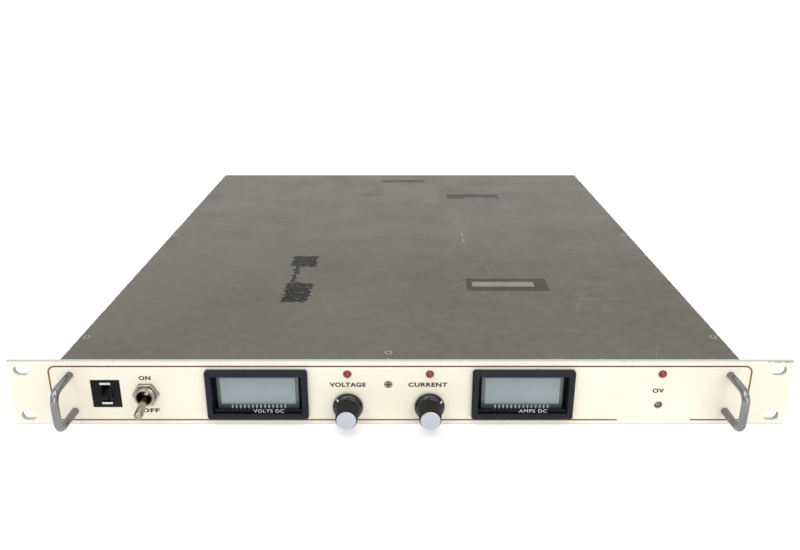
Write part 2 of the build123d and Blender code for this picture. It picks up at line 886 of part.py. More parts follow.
def make_sense_connector():
    # A pluggable block with a square wire entry for each pole
    with BuildPart() as sense_connector:
        slab(
            sense_x, rear_y, rear_z - sense_height / 2,
            sense_poles * sense_pitch, sense_depth, sense_height,
        )
        with BuildSketch(backing(rear_y + sense_depth, sense_x, rear_z)):
            with GridLocations(sense_pitch, 0, sense_poles, 1):
                Rectangle(sense_entry, sense_entry)
        extrude(amount=-sense_entry_depth, mode=Mode.SUBTRACT)
    save(sense_connector, "sense_connector")


def make_bus_bar(name, x):
    # A flat copper bar on edge, with a foot down to the board and a hole for a lug's bolt
    with BuildPart() as bar:
        slab(
            x, rear_y - bus_inside, rear_z - bus_height / 2,
            bus_thickness, bus_inside + bus_reach, bus_height,
        )
        slab(x, rear_y - bus_inside, board_top_z, bus_thickness, bus_foot, bus_height)
        chamfer(bar.edges().filter_by(Axis.X).group_by(Axis.Y)[-1], bus_corner)
        with Locations(Plane.YZ.offset(x) * Pos(rear_y + bus_hole_back, rear_z)):
            Hole(bus_hole_radius)
    save(bar, name)


def make_bus_insulator():
    # A laminate plate over the window, with a close slot around each bar
    slot_width = bus_thickness + 2 * fit_clearance
    slot_height = bus_height + 2 * fit_clearance
    with BuildPart() as bus_insulator:
        slab(
            sum(bus_xs) / 2, rear_y, rear_z - insulator_height / 2,
            insulator_width, insulator_thickness, insulator_height,
        )
        chamfer(bus_insulator.faces().sort_by(Axis.Y)[-1].edges(), insulator_edge)
        for x in bus_xs:
            slab(
                x, rear_y, rear_z - slot_height / 2,
                slot_width, insulator_thickness, slot_height, mode=Mode.SUBTRACT,
            )
    save(bus_insulator, "bus_insulator")


def make_ground_stud():
    foot_plane = backing(rear_y, ground_x, rear_z)
    with BuildPart() as ground_stud:
        with BuildSketch(foot_plane):
            RegularPolygon(ground_foot_flats / 2, 6, major_radius=False)
        extrude(amount=ground_foot_thickness)
        with BuildSketch(foot_plane.offset(ground_foot_thickness)):
            Circle(ground_stud_radius)
        extrude(amount=ground_stud_length)
    save(ground_stud, "ground_stud")


def fan_frame_shape():
    # Axis along Z, exhaust side up: a square frame, its duct and the spider that holds the motor
    with BuildPart() as frame:
        with BuildSketch():
            Rectangle(fan_size, fan_size)
            RegularPolygon(fan_duct_radius, fan_sides, major_radius=False, mode=Mode.SUBTRACT)
        extrude(amount=-fan_depth)
        with BuildSketch():
            RegularPolygon(fan_support_radius, fan_sides)
            with PolarLocations(fan_duct_radius / 2, fan_struts):
                Rectangle(fan_duct_radius + fan_strut_width, fan_strut_width)
        extrude(amount=-fan_support_thickness)
    return frame.part


def fan_rotor_shape():
    # Axis along Z: a hub cup and the blades around it, each turned about its own radius
    top = -fan_support_thickness - moving_clearance
    lean = radians(blade_angle)
    chord = (rotor_depth - 2 * blade_thickness) / sin(lean)
    half_width = (chord * cos(lean) + blade_thickness * sin(lean)) / 2
    blade_length = sqrt(rotor_radius**2 - half_width**2)
    with BuildPart() as rotor:
        with BuildSketch(Plane.XY.offset(top)):
            RegularPolygon(rotor_hub_radius, fan_sides)
        extrude(amount=-rotor_depth)
        middle = Plane.XY.offset(top - rotor_depth / 2)
        for n in range(rotor_blades):
            root = middle * Rot(0, 0, n * 360 / rotor_blades) * Rot(blade_angle, 0, 0)
            with Locations(root):
                Box(
                    blade_length, chord, blade_thickness,
                    align=(Align.MIN, Align.CENTER, Align.CENTER),
                )
    return rotor.part


def make_fans():
    frame = fan_frame_shape()
    rotor = fan_rotor_shape()
    with BuildPart() as fan_frames:
        with Locations(*[backing(rear_inside_y, x, rear_z) for x in fan_xs]):
            add(frame)
    save(fan_frames, "fan_frames")
    for name, x in zip(("left_fan_rotor", "right_fan_rotor"), fan_xs):
        with BuildPart() as fan_rotor:
            with Locations(backing(rear_inside_y, x, rear_z)):
                add(rotor)
        save(fan_rotor, name)


os.makedirs("parts", exist_ok=True)
make_front_panel()
make_handles()
make_panel_bracket()
make_chassis_tray()
make_top_cover()
make_breaker()
make_toggle()
make_toggle_lever()
for meter_name, meter_x in zip(meter_names, meter_xs):
    make_meter(meter_name, meter_x)
make_meter_insides()
make_leds()
for knob_name, knob_x in zip(meter_names, knob_xs):
    make_knob(knob_name, knob_x)
make_potentiometers()
make_trimmer()
make_boards()
make_wound_parts()
make_heatsinks()
make_input_parts()
make_rear_panel()
make_line_terminals()
make_sense_connector()
for bus_name, bus_x in zip(("negative_bus_bar", "positive_bus_bar"), bus_xs):
    make_bus_bar(bus_name, bus_x)
make_bus_insulator()
make_ground_stud()
make_fans()
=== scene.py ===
import json
from math import cos, pi, radians, sin

import bmesh
import bpy
from mathutils import Matrix, Vector


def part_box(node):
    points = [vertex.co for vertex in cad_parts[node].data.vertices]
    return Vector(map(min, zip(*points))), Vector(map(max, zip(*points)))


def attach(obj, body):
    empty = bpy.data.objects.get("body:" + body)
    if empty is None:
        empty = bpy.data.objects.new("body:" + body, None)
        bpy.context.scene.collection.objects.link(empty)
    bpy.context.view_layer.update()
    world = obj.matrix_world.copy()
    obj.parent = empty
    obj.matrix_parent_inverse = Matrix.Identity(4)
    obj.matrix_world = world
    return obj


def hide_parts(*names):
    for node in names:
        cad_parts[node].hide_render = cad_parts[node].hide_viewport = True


# The looks of a one-unit bench power supply, laid over its solids: finishes, broken edges,
# printed words, and the fine pieces that the solids leave plain
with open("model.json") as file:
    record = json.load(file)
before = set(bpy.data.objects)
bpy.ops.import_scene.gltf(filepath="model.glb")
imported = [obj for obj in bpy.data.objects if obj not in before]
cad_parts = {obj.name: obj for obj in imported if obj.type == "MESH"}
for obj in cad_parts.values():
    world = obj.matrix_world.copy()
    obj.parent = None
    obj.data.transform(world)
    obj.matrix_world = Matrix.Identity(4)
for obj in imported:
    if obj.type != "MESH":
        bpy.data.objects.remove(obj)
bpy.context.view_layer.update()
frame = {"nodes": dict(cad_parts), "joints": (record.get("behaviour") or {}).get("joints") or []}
nodes = frame["nodes"]
joint_at = {joint["name"]: joint for joint in frame["joints"]}

# Own measures are written in millimetres and turned to metres where a piece is placed
MM = 0.001
TO_METRES = Matrix.Scale(MM, 4)

# Two ways round for work drawn flat: out of the front panel, and out of the rear panel
OUT_OF_FRONT = Matrix.Rotation(pi / 2, 4, "X")
OUT_OF_REAR = Matrix.Rotation(pi, 4, "Z") @ OUT_OF_FRONT


def low(node):
    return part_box(node)[0] / MM


def high(node):
    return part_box(node)[1] / MM


def middle(node):
    return (low(node) + high(node)) / 2


def pivot(joint):
    return Vector(joint_at[joint]["pos_m"]) / MM


face_y = low("front_panel").y
panel_top = high("front_panel").z
panel_side = high("front_panel").x
rear_y = high("rear_panel").y
cover_front = low("top_cover").y
cover_top = high("top_cover").z
cover_side = high("top_cover").x

# Places and sizes that several pieces share, and a reach that passes right through the object
handle_x = 203.2
lamp_z = 35.2
ink = 0.03
through = 900


def linear(code):
    # An sRGB hex colour as linear red, green, blue and alpha
    parts = [int(code[n:n + 2], 16) / 255 for n in (1, 3, 5)]
    levels = [c / 12.92 if c <= 0.04045 else ((c + 0.055) / 1.055) ** 2.4 for c in parts]
    return (*levels, 1.0)


def add_node(tree, kind, inputs=None, **settings):
    # Adds a node, sets its properties, and fills its sockets with links or values
    node = tree.nodes.new(kind)
    for name, value in settings.items():
        setattr(node, name, value)
    for socket, value in (inputs or {}).items():
        if isinstance(value, bpy.types.NodeSocket):
            tree.links.new(value, node.inputs[socket])
        else:
            node.inputs[socket].default_value = value
    return node


def new_finish(name, metallic=0.0, roughness=0.5, **sockets):
    # A material with its shader, and the object's own coordinates for its patterns
    material = bpy.data.materials.new(name)
    material.use_nodes = True
    tree = material.node_tree
    tree.nodes.clear()
    shader = add_node(tree, "ShaderNodeBsdfPrincipled", {"Metallic": metallic, "Roughness": roughness})
    for socket, value in sockets.items():
        shader.inputs[socket.replace("_", " ")].default_value = value
    add_node(tree, "ShaderNodeOutputMaterial", {"Surface": shader.outputs[0]})
    place = add_node(tree, "ShaderNodeTexCoord").outputs["Object"]
    return material, tree, shader, place


def grain(tree, place, size, start=0.35, end=0.65, detail=3.0, stretch=None):
    # Noise with grains of a real size in millimetres, as a mask from 0 to 1
    if stretch:
        place = add_node(tree, "ShaderNodeMapping", {"Vector": place, "Scale": stretch}).outputs[0]
    noise = add_node(
        tree, "ShaderNodeTexNoise", {"Vector": place, "Scale": 1 / (size * MM), "Detail": detail}
    )
    ramp = add_node(
        tree, "ShaderNodeMapRange",
        {"Value": noise.outputs["Fac"], "From Min": start, "From Max": end},
    )
    return ramp.outputs[0]


def blend(tree, mask, first, second):
    # The second colour where the mask is 1; a mix node has its colour sockets at these numbers
    first_socket, second_socket, result_socket = 6, 7, 2
    mix = add_node(tree, "ShaderNodeMix", {"Factor": mask}, data_type="RGBA")
    for socket, colour in ((first_socket, first), (second_socket, second)):
        if isinstance(colour, bpy.types.NodeSocket):
            tree.links.new(colour, mix.inputs[socket])
        else:
            mix.inputs[socket].default_value = linear(colour)
    return mix.outputs[result_socket]


def span(tree, value, low_end, high_end, to_low=0.0, to_high=1.0):
    # A value carried from one range to another, and held at its ends
    ramp = add_node(
        tree, "ShaderNodeMapRange",
        {"Value": value, "From Min": low_end, "From Max": high_end, "To Min": to_low, "To Max": to_high},
    )
    return ramp.outputs[0]


def combine(tree, operation, first, second=0.0):
    # One step of arithmetic between two sockets or values
    return add_node(tree, "ShaderNodeMath", {0: first, 1: second}, operation=operation).outputs[0]


def relief(tree, shader, height, depth):
    # Bump from a mask, with its depth in millimetres
    bump = add_node(tree, "ShaderNodeBump", {"Height": height, "Strength": 1.0, "Distance": depth * MM})
    tree.links.new(bump.outputs[0], shader.inputs["Normal"])


def box_distance(tree, place, centre, half):
    # How far a point lies outside an upright box, negative inside it, in metres
    off = add_node(
        tree, "ShaderNodeVectorMath", {0: place, 1: [c * MM for c in centre]}, operation="SUBTRACT"
    )
    size = add_node(tree, "ShaderNodeVectorMath", {0: off.outputs[0]}, operation="ABSOLUTE")
    out = add_node(
        tree, "ShaderNodeVectorMath", {0: size.outputs[0], 1: [h * MM for h in half]},
        operation="SUBTRACT",
    )
    parts = add_node(tree, "ShaderNodeSeparateXYZ", {0: out.outputs[0]})
    widest = combine(tree, "MAXIMUM", parts.outputs[0], parts.outputs[1])
    return combine(tree, "MAXIMUM", widest, parts.outputs[2])


def plain_finish(name, first, second, size, metallic=0.0, rough=(0.4, 0.5), bump=None, stretch=None,
                 **sockets):
    # Two near colours in grains of a real size, with roughness that follows and a fine relief
    material, tree, shader, place = new_finish(name, metallic, rough[0], **sockets)
    mask = grain(tree, place, size, 0.3, 0.7, stretch=stretch)
    tree.links.new(blend(tree, mask, first, second), shader.inputs["Base Color"])
    tree.links.new(span(tree, mask, 0, 1, *rough), shader.inputs["Roughness"])
    if bump:
        bump_size, depth = bump
        relief(tree, shader, grain(tree, place, bump_size, 0.2, 0.8, stretch=stretch), depth)
    return material


def panel_enamel():
    # Baked cream enamel on sheet aluminium: a soft gloss with a faint orange peel, yellowed in
    # places, worn to dark metal along the top right edge and to bare grey metal round its edges
    material, tree, shader, place = new_finish("baked_cream_enamel", 0.0, 0.42)
    colour = blend(tree, grain(tree, place, 70), "#f9f5e3", "#f4efdb")
    dirt = grain(tree, place, 6, 0.62, 0.80, stretch=(1, 1, 2.5))
    colour = blend(tree, combine(tree, "MULTIPLY", dirt, 0.25), colour, "#d8d0b6")
    chip_size, chip_reach, rim = 2.2, 0.9 * MM, 0.25
    worn_corner, worn_half = (233, 0, panel_top), (8, through, 0.55)
    chips = combine(tree, "MULTIPLY", grain(tree, place, chip_size, 0.45, 0.8, 5.0), chip_reach)
    edge = box_distance(
        tree, place, (0, 0, panel_top / 2), (panel_side - rim, through, panel_top / 2 - rim)
    )
    worn = span(tree, combine(tree, "ADD", edge, chips), 0.55 * MM, 0.65 * MM)
    colour = blend(tree, worn, colour, "#b9b6ab")
    corner = box_distance(tree, place, worn_corner, worn_half)
    bared = span(tree, combine(tree, "ADD", corner, chips), 0.15 * MM, -0.15 * MM)
    colour = blend(tree, bared, colour, "#6d6a62")
    # Behind its face the plate is coloured light grey: a strip along the top and on the walls of the
    # holes
    depth_in = add_node(tree, "ShaderNodeSeparateXYZ", {0: place}).outputs[1]
    off_face = span(tree, depth_in, (face_y + 0.28) * MM, (face_y + 0.34) * MM)
    colour = blend(tree, off_face, colour, "#c4c3bd")
    tree.links.new(colour, shader.inputs["Base Color"])
    tree.links.new(span(tree, grain(tree, place, 25), 0, 1, 0.36, 0.48), shader.inputs["Roughness"])
    relief(tree, shader, grain(tree, place, 1.4, 0.2, 0.8), 0.012)
    return material


def cover_mark(tree, place, x, s, soft, size, ragged):
    # The mask of a rectangle on the cover, by its middle and its distance behind the front edge
    mark_depth, tear_size = 9, 3.5
    centre = (x, cover_front + s, cover_top)
    distance = box_distance(tree, place, centre, (size[0] / 2, size[1] / 2, mark_depth))
    tears = grain(tree, place, tear_size, 0.25, 0.75, 6.0)
    rough_edge = combine(tree, "MULTIPLY", tears, ragged * MM)
    distance = combine(tree, "ADD", distance, rough_edge)
    return span(tree, distance, soft * MM, -soft * MM)


def cover_paint():
    # Olive grey paint on sheet steel, long in use: cloudy, finely scratched, rubbed to light grey
    # along its edges, with the ghosts of glued plates that were taken off and two scraps of glue
    material, tree, shader, place = new_finish(
        "worn_olive_grey_paint", 0.0, 0.45, Specular_IOR_Level=0.2
    )
    colour = blend(tree, grain(tree, place, 150, 0.3, 0.7), "#69665c", "#5e5b51")
    colour = blend(tree, combine(tree, "MULTIPLY", grain(tree, place, 9, 0.45, 0.75, 6.0), 0.4),
                   colour, "#74726a")
    speckle = grain(tree, place, 1.6, 0.68, 0.75, 2.0)
    colour = blend(tree, combine(tree, "MULTIPLY", speckle, 0.2), colour, "#8d8b83")
    # Fine scratches, drawn a little coarser than real ones so that they show
    turned_place = add_node(
        tree, "ShaderNodeMapping", {"Vector": place, "Rotation": (0, 0, 0.35)}
    ).outputs[0]
    lines = grain(tree, turned_place, 1.8, 0.74, 0.77, 1.0, (1, 0.03, 1))
    colour = blend(tree, combine(tree, "MULTIPLY", lines, 0.3), colour, "#8d8b84")
    # Each patch is its middle, its distance behind the front edge, its width, length, raggedness,
    # strength and colour: a glue ghost, dark bars, a dark frame's lighter middle, scratches, smears
    patches = (
        (11, 382, 61, 77, 1.5, 0.18, "#7d7b73"), (4, 428.5, 50, 11, 0.8, 0.95, "#1d1b16"),
        (78, 363, 56, 18, 0.8, 0.95, "#25231c"), (86, 358, 36, 5, 0.8, 0.70, "#77756d"),
        (82, 119, 63, 25, 0.8, 0.85, "#35322a"), (79, 120, 48, 10, 0.8, 0.95, "#8b897f"),
        (57, 227, 1.4, 34, 1.0, 0.80, "#b5b2a6"), (71, 150, 1.2, 16, 1.0, 0.60, "#a5a299"),
        (-29, 372, 24, 6, 3.0, 0.80, "#2b2922"), (-108, 350, 2, 60, 1.6, 0.60, "#2b2922"),
        (150, 92, 34, 1.6, 1.0, 0.40, "#a5a299"), (62, 300, 80, 3, 2.5, 0.25, "#3a3832"),
    )
    for x, s, width, length, ragged, strength, shade in patches:
        inside = cover_mark(tree, place, x, s, 0.3, (width, length), ragged)
        colour = blend(tree, combine(tree, "MULTIPLY", inside, strength), colour, shade)
    # Torn glue that kept its dirt, speckled where the paint shows through
    flecks = grain(tree, place, 2.4, 0.34, 0.42, 6.0)
    for x, s, width, length in ((-77, 105, 25, 42), (-83, 148, 9, 52), (-79, 169, 27, 30)):
        scrap = cover_mark(tree, place, x, s, 0.6, (width, length), 6.0)
        colour = blend(tree, combine(tree, "MULTIPLY", scrap, flecks), colour, "#0f0e09")
    rub_size, rub_reach, rim = 5, 1.6 * MM, 0.5
    edge = box_distance(
        tree, place, (0, (cover_front + rear_y) / 2, 0),
        (cover_side - rim, (rear_y - cover_front) / 2 - rim, through),
    )
    rubs = combine(tree, "MULTIPLY", grain(tree, place, rub_size, 0.35, 0.7, 6.0), rub_reach)
    worn = span(tree, combine(tree, "ADD", edge, rubs), 0.5 * MM, 0.9 * MM)
    colour = blend(tree, worn, colour, "#a5a49c")
    tree.links.new(colour, shader.inputs["Base Color"])
    tree.links.new(span(tree, grain(tree, place, 40, 0.3, 0.7, 6.0), 0, 1, 0.40, 0.52),
                   shader.inputs["Roughness"])
    relief(tree, shader, grain(tree, place, 1.1, 0.2, 0.8), 0.02)
    return material


def spun_cap():
    # Spun aluminium: fine rings round each cap's middle, which catch the light as a fan
    material, tree, shader, place = new_finish("spun_aluminium_cap", 1.0, 0.28, Anisotropic=0.6)
    nearest = None
    for node in ("voltage_knob_cap", "current_knob_cap"):
        centre = middle(node) * MM
        off = add_node(
            tree, "ShaderNodeVectorMath", {0: place, 1: (centre.x, 0, centre.z)},
            operation="SUBTRACT",
        )
        flat = add_node(tree, "ShaderNodeVectorMath", {0: off.outputs[0], 1: (1, 0, 1)},
                        operation="MULTIPLY")
        reach = add_node(tree, "ShaderNodeVectorMath", {0: flat.outputs[0]}, operation="LENGTH")
        reach = reach.outputs["Value"]
        nearest = combine(tree, "MINIMUM", reach, nearest) if nearest else reach
    ring_pitch = 0.45 * MM
    wave = combine(tree, "SINE", combine(tree, "MULTIPLY", nearest, 2 * pi / ring_pitch))
    tree.links.new(
        blend(tree, span(tree, wave, -1, 1), "#a9abb6", "#bfc2cc"), shader.inputs["Base Color"]
    )
    relief(tree, shader, span(tree, wave, -1, 1), 0.01)
    return material


finishes = {
    "enamel": panel_enamel(),
    "cover": cover_paint(),
    # Zinc plated sheet: a soft, slightly blotchy grey shine, brushed along the fold
    "sheet": plain_finish("zinc_plated_sheet", "#aeb0ae", "#a4a6a4", 7, 1.0, (0.38, 0.45),
                          (0.9, 0.01), (1, 0.25, 1)),
    # Chromed rod: a mirror with only faint haze, toned down because all that it mirrors is white
    "chrome": plain_finish("polished_chrome", "#86878a", "#77787b", 20, 1.0, (0.07, 0.13)),
    # Nickel plate on brass: warm, bright, with fine turning marks
    "nickel": plain_finish("nickel_plated_brass", "#a19d8f", "#89857a", 3, 1.0, (0.2, 0.32),
                           (0.5, 0.01)),
    # The same plate on the lever, polished smoother by fingers
    "bat": plain_finish("bright_plated_lever", "#a39e8f", "#8c8778", 6, 1.0, (0.14, 0.24)),
    # Screws: dull zinc on the sheets, a browner nickel in the panel
    "screw": plain_finish("zinc_plated_screw", "#a6a69e", "#8a8a82", 1.5, 1.0, (0.3, 0.48),
                          (0.4, 0.01)),
    "panel_screw": plain_finish("dull_nickel_screw", "#959588", "#7d7d70", 1.5, 1.0, (0.32, 0.5),
                                (0.4, 0.01)),
    # Mouldings: a low sheen with a fine spark-eroded grain
    "breaker": plain_finish("black_phenolic_moulding", "#08080a", "#0e0e10", 8, 0.0, (0.4, 0.5),
                            (0.5, 0.01), Specular_IOR_Level=0.15),
    "switch": plain_finish("brown_phenolic_moulding", "#3a2018", "#2c1812", 6, 0.0, (0.4, 0.5),
                           (0.6, 0.02)),
    "bezel": plain_finish("dark_grey_abs_moulding", "#141821", "#1a1e27", 12, 0.0, (0.4, 0.52),
                          (0.6, 0.015), Specular_IOR_Level=0.2),
    "holder": plain_finish("black_abs_moulding", "#09090b", "#0f0f11", 12, 0.0, (0.45, 0.6),
                           (0.8, 0.02), Specular_IOR_Level=0.15),
    # Black film under the displays, and the inks printed on it, on the breaker and on the panel
    "legend": plain_finish("gloss_black_film", "#060608", "#0a0a0c", 15, 0.0, (0.2, 0.3),
                           Specular_IOR_Level=0.15),
    "print": plain_finish("white_printing_ink", "#e4e6e6", "#d4d6d8", 2, 0.0, (0.5, 0.6)),
    "brown_print": plain_finish("brown_screen_ink", "#7a4829", "#6b3d21", 3, 0.0, (0.5, 0.62)),
    "dark_print": plain_finish("dark_brown_screen_ink", "#3e2a1e", "#332217", 2, 0.0, (0.5, 0.6)),
    # Knob moulding: polished phenolic skirt, so it mirrors the lights, and a duller grip
    "skirt": plain_finish("polished_black_phenolic", "#09080a", "#0e0c0d", 14, 0.0, (0.06, 0.1)),
    "grip": plain_finish("serrated_black_phenolic", "#24221c", "#171612", 1.2, 0.0, (0.38, 0.55),
                         (0.5, 0.02), Specular_IOR_Level=0.3),
    "cap": spun_cap(),
    # Tinned contact pins along the foot of each display, near white: the tin's light grey raised to a
    # painted highlight
    "contacts_and_glint": plain_finish("tinned_contacts_and_painted_glint", "#f4f6f6", "#e2e5e4", 1.0, 0.0, (0.3, 0.45)),
    # Circuit board: green mask over glass weave
    "board": plain_finish("green_solder_mask", "#1e5a30", "#174a27", 1.6, 0.0, (0.3, 0.42),
                          (0.8, 0.02)),
    # Bare extrusion, with its draw lines
    "aluminium": plain_finish("extruded_aluminium", "#b8babb", "#a4a6a7", 4, 1.0, (0.35, 0.5),
                              (0.7, 0.02), (1, 0.1, 1)),
    # Wound parts and their neighbours: matt ferrite, wrapped tape, epoxy cases, a shrunk sleeve
    "ferrite": plain_finish("sintered_ferrite", "#2e2e31", "#3b3b3e", 2, 0.0, (0.5, 0.7),
                            (0.7, 0.05)),
    "tape": plain_finish("yellow_polyester_tape", "#d9a92e", "#c49522", 9, 0.0, (0.25, 0.4),
                         (6.0, 0.05), (1, 1, 3)),
    "epoxy": plain_finish("black_epoxy_case", "#1a1a1b", "#232324", 2, 0.0, (0.5, 0.65),
                          (0.4, 0.01)),
    "sleeve": plain_finish("blue_pvc_sleeve", "#1c2748", "#222f55", 9, 0.0, (0.22, 0.34)),
    "tin": plain_finish("tinned_steel_can", "#b6b8b6", "#a2a4a2", 6, 1.0, (0.28, 0.42)),
    "fan": plain_finish("black_glass_filled_moulding", "#1a1a1c", "#242427", 3, 0.0, (0.42, 0.56),
                        (0.5, 0.02)),
    # Rear connections: drawn copper, fibre laminate and turned brass
    "copper": plain_finish("bare_copper_bar", "#c57b57", "#a9623f", 9, 1.0, (0.28, 0.5),
                           (0.8, 0.02), (1, 0.15, 1)),
    "laminate": plain_finish("red_brown_laminate", "#7c3a22", "#6a2f1b", 1.4, 0.0, (0.34, 0.48),
                             (0.9, 0.03)),
    "brass": plain_finish("bare_brass", "#c9a75c", "#b08f48", 2, 1.0, (0.28, 0.42), (0.4, 0.01)),
    # Trimmer case, smooth and slightly glossy
    "blue": plain_finish("blue_trimmer_case", "#2352a0", "#1c448a", 3, 0.0, (0.3, 0.42)),
    # Unlit display: a dark green border of glass round a light grey field
    "glass": plain_finish("unlit_display_glass", "#62706b", "#586660", 30, 0.0, (0.1, 0.16)),
    "active": plain_finish("unlit_display_area", "#949ea0", "#9ba5a7", 26, 0.0, (0.12, 0.2)),
    # Lamp lens: deep red tinted epoxy with a wet gloss
    "lens": plain_finish("red_tinted_epoxy", "#8a0a05", "#6f0604", 1.5, 0.0, (0.1, 0.16),
                         Coat_Weight=0.3, Coat_Roughness=0.05),
    # Painted highlight: a bright orange-red spot set on the tip of each lamp's dome
    "lamp_painted_highlight": plain_finish("lamp_painted_highlight_spot", "#d8553c", "#c23f28", 0.8, 0.0, (0.3, 0.4)),
    # Painted shade: the dark foot of a screw's recess, too small to light up
    "recess": plain_finish("screw_recess_shade", "#2b2a26", "#22211e", 0.8, 0.2, (0.6, 0.7)),
}

# The CAD solids that keep their shape, each with its finish
carried = {
    "enamel": ("front_panel",),
    "sheet": ("chassis_tray", "panel_bracket", "rear_panel"),
    "switch": ("toggle_body",),
    "holder": ("lcd_holders",),
    "contacts_and_glint": ("lcd_pins",),
    "board": ("control_board", "main_board", "meter_boards"),
    "aluminium": ("board_standoffs", "heatsinks", "potentiometers", "voltage_pot_shaft",
                  "current_pot_shaft"),
    "ferrite": ("ferrite_cores",),
    "tape": ("windings",),
    "epoxy": ("power_transistors",),
    "sleeve": ("bulk_capacitors",),
    "tin": ("line_filter",),
    "fan": ("fan_frames",),
    "blue": ("trimmer_body",),
}
for finish, members in carried.items():
    for member in members:
        nodes[member].data.materials.clear()
        nodes[member].data.materials.append(finishes[finish])


def close_piece(name, bm, finish, body, stands_for=(), smooth=30, flat_from=None):
    # Makes a finished bmesh, drawn in metres in its place, into a piece that rides on its body
    bmesh.ops.remove_doubles(bm, verts=bm.verts[:], dist=1e-7)
    bmesh.ops.recalc_face_normals(bm, faces=bm.faces[:])
    mesh = bpy.data.meshes.new(name)
    bm.to_mesh(mesh)
    bm.free()
    mesh.materials.append(finishes[finish])
    # Large flats stay flat, so that a rounded edge beside them leaves no shade on them
    mesh.polygons.foreach_set(
        "use_smooth", [flat_from is None or p.area < flat_from * MM * MM for p in mesh.polygons]
    )
    mesh.set_sharp_from_angle(angle=radians(smooth))
    piece = bpy.data.objects.new(name, mesh)
    bpy.context.scene.collection.objects.link(piece)
    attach(piece, body)
    if stands_for:
        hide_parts(*stands_for)
    return piece


def dressed(node, finish, edge, body, segments=2):
    # A CAD solid whose sharp edges are broken as a moulding's or a worn sheet's are
    bm = bmesh.new()
    bm.from_mesh(nodes[node].data)
    bmesh.ops.remove_doubles(bm, verts=bm.verts[:], dist=2e-6)
    bmesh.ops.dissolve_limit(
        bm, angle_limit=radians(1), verts=bm.verts[:], edges=bm.edges[:]
    )
    sharp = [e for e in bm.edges if e.is_manifold and e.calc_face_angle() > radians(25)]
    bmesh.ops.bevel(
        bm, geom=sharp, offset=edge * MM, segments=segments, affect="EDGES", profile=0.5,
        material=-1, clamp_overlap=True,
    )
    return close_piece(f"{node}_dressed", bm, finish, body, (node,), flat_from=20)


def turned(profile, steps=64):
    # A profile of radius and height pairs, turned round its own axis
    bm = bmesh.new()
    line = [bm.verts.new((radius, 0, height)) for radius, height in profile]
    edges = [bm.edges.new(pair) for pair in zip(line, line[1:])]
    bmesh.ops.spin(
        bm, geom=line + edges, cent=(0, 0, 0), axis=(0, 0, 1), angle=2 * pi, steps=steps,
        use_merge=True,
    )
    bmesh.ops.remove_doubles(bm, verts=bm.verts[:], dist=1e-4)
    return bm


def move(bm, matrix):
    bmesh.ops.transform(bm, matrix=matrix, verts=bm.verts[:])


def seat(bm, way, x, y, z):
    # Puts a shape that was drawn in millimetres at the origin into its place
    move(bm, TO_METRES @ Matrix.Translation((x, y, z)) @ way)


def block(bm, size, centre, edge=0.0, segments=2):
    # A block in millimetres with its edges broken
    made = bmesh.ops.create_cube(
        bm, size=1, matrix=Matrix.Translation(centre) @ Matrix.Diagonal((*size, 1))
    )
    if edge:
        edges = {e for v in made["verts"] for e in v.link_edges}
        bmesh.ops.bevel(
            bm, geom=list(edges), offset=edge, segments=segments, affect="EDGES", profile=0.5,
            material=-1,
        )


def lettering(name, text, finish, height, width, way, x, y, z, strength=0.045):
    # Printed words: an outline font set to a real height and width, with the ink's thickness
    curve = bpy.data.curves.new(name, "FONT")
    curve.body = text
    curve.align_x = "CENTER"
    curve.space_character = 1.12
    curve.offset = strength
    curve.extrude = 0.01
    holder = bpy.data.objects.new(name, curve)
    bpy.context.scene.collection.objects.link(holder)
    bpy.context.view_layer.update()
    mesh = bpy.data.meshes.new_from_object(holder)
    bpy.data.objects.remove(holder)
    bm = bmesh.new()
    bm.from_mesh(mesh)
    bpy.data.meshes.remove(mesh)
    low_x, high_x = min(v.co.x for v in bm.verts), max(v.co.x for v in bm.verts)
    low_y, high_y = min(v.co.y for v in bm.verts), max(v.co.y for v in bm.verts)
    low_z, high_z = min(v.co.z for v in bm.verts), max(v.co.z for v in bm.verts)
    move(bm, Matrix.Translation((-(low_x + high_x) / 2, -(low_y + high_y) / 2, -low_z)))
    move(bm, Matrix.Diagonal((
        width / (high_x - low_x), height / (high_y - low_y), ink / (high_z - low_z), 1)))
    seat(bm, way, x, y, z)
    return close_piece(name, bm, finish, "chassis")


def cover_sheet():
    # One flat sheet with its edges broken, on which the screw heads lie as good as flush
    thickness = cover_top - low("top_cover").z
    length = high("top_cover").y - cover_front
    edge = 0.35
    sheet = bmesh.new()
    block(sheet, (2 * cover_side, length, thickness), (0, 0, 0), edge)
    at = middle("top_cover")
    seat(sheet, Matrix.Identity(4), at.x, at.y, cover_top - thickness / 2)
    close_piece(
        "top_cover_sheet", sheet, "cover", "chassis", ("top_cover",), flat_from=20
    )


cover_sheet()


def take_in(target, source):
    # Adds one bmesh to another
    mesh = bpy.data.meshes.new("part")
    source.to_mesh(mesh)
    source.free()
    target.from_mesh(mesh)
    bpy.data.meshes.remove(mesh)


def cross_head(heads, recess_shades, x, y, z, radius, way):
    # A countersunk head a hair below the given height, and a dark cross on it, painted shade for its
    # recess
    sunk, slope, depth = 0.05, 0.2, 1.2
    head = turned((
        (0, -sunk), (radius - 0.3, -sunk), (radius, -sunk - slope), (radius - 1.0, -depth),
        (0, -depth),
    ), 32)
    seat(head, way, x, y, z)
    take_in(heads, head)
    # Painted shade for the recess: a dark cross standing just proud of the head
    cross = bmesh.new()
    arm, slot_width, shade = 1.25 * radius, 0.7, 0.06
    for size in ((arm, slot_width, shade), (slot_width, arm, shade)):
        block(cross, size, (0, 0, -shade / 2))
    seat(cross, way, x, y, z)
    take_in(recess_shades, cross)


